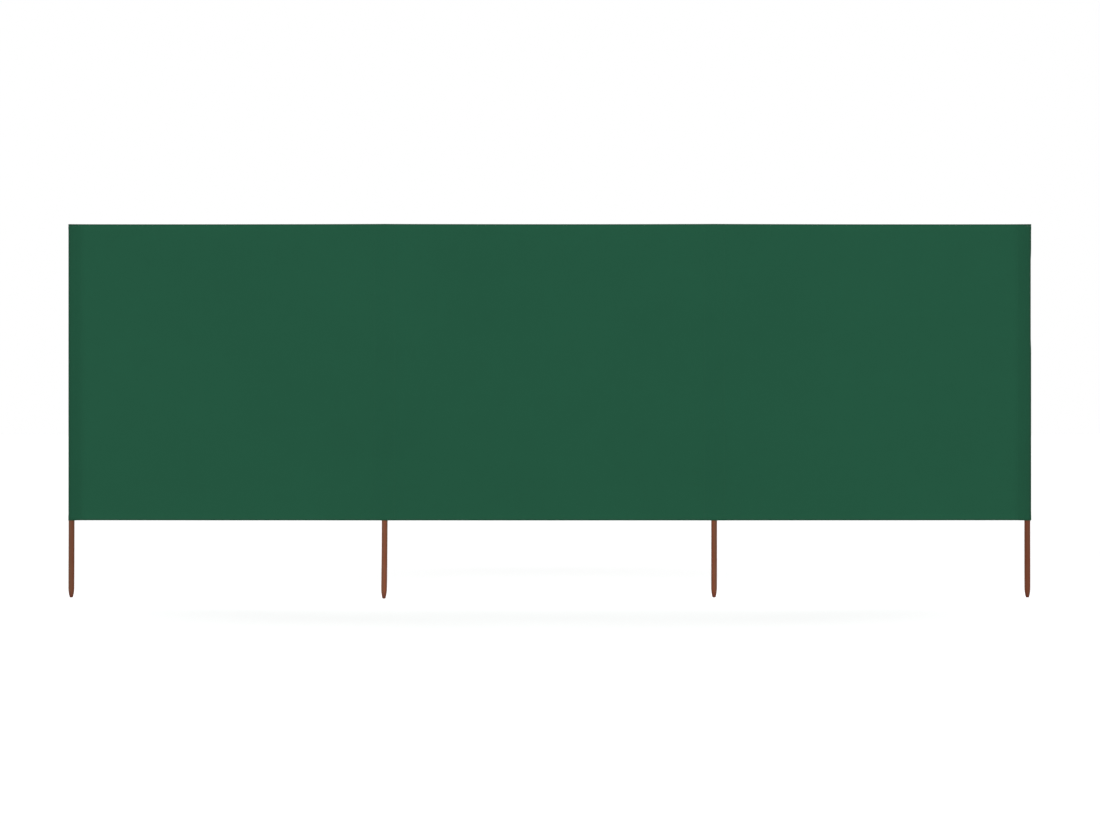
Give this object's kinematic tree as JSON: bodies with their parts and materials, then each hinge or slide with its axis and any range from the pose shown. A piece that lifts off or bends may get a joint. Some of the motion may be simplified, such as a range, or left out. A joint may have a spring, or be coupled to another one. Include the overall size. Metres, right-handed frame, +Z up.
{
  "type": "beach windbreak",
  "caption": "Long low beach windbreak: one tight green cloth sheet in bays on upright round wooden poles with blunt points that push into the sand.",
  "frame": {"origin": "middle of the flat end of pole 1's foot, the pole at the left seen from the front", "axes": "+X along the windbreak from pole 1 to pole 4, +Z up along the poles, the front of the cloth faces -Y"},
  "size_m": [3.8991, 0.0262, 1.5168],
  "materials": {
    "stained_wood": "softwood dowel with a thin red-brown stain, matt",
    "green_cloth": "plain-woven dark green polyester cloth, matt"
  },
  "bodies": {
    "root": {"pole_1": "stained_wood", "pole_2": "stained_wood", "pole_3": "stained_wood", "pole_4": "stained_wood", "cloth_bay_1": "green_cloth", "cloth_bay_2": "green_cloth", "cloth_bay_3": "green_cloth", "end_sleeve_1": "green_cloth", "end_sleeve_4": "green_cloth", "pole_pocket_2": "green_cloth", "pole_pocket_3": "green_cloth", "top_hem_1": "green_cloth", "top_hem_2": "green_cloth", "top_hem_3": "green_cloth", "bottom_hem_1": "green_cloth", "bottom_hem_2": "green_cloth", "bottom_hem_3": "green_cloth"}
  },
  "joints": []
}
